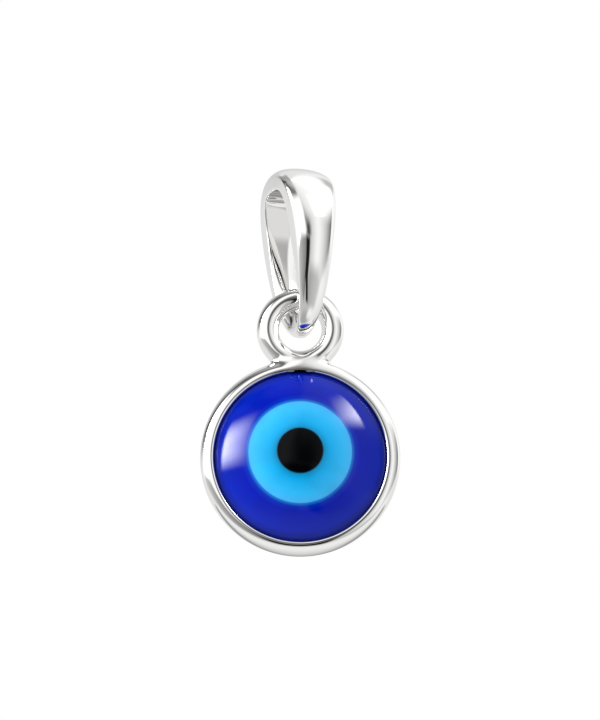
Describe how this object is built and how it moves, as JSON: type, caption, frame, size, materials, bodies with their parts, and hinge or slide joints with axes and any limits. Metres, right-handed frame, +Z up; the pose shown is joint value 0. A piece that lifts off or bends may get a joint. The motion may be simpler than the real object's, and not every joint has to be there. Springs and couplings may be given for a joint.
{
  "type": "evil eye pendant",
  "caption": "Round silver setting with a domed blue glass eye, a soldered ring on top and a domed teardrop bail that it hangs from.",
  "frame": {"origin": "the inside top of the bail, where a chain bears when the pendant hangs", "axes": "+Z up, against gravity as it hangs; the eye faces -Y; +X to the right as one looks at the eye"},
  "size_m": [0.0108, 0.006, 0.0215],
  "materials": {
    "silver": "bright polished silver",
    "cobalt_glass": "glossy opaque cobalt blue glass",
    "sky_glass": "glossy opaque light blue glass",
    "black_glass": "glossy opaque black glass"
  },
  "bodies": {
    "bail": {"bail": "silver"},
    "drop": {"bezel_setting": "silver", "glass_dome": "cobalt_glass", "iris": "sky_glass", "pupil": "black_glass"}
  },
  "joints": [
    {"name": "drop_swing", "type": "hinge", "parent": "bail", "child": "drop", "pos_m": [0.00017, 0, -0.00593], "axis": [1, 0, 0], "range_deg": [-25, 30]}
  ]
}
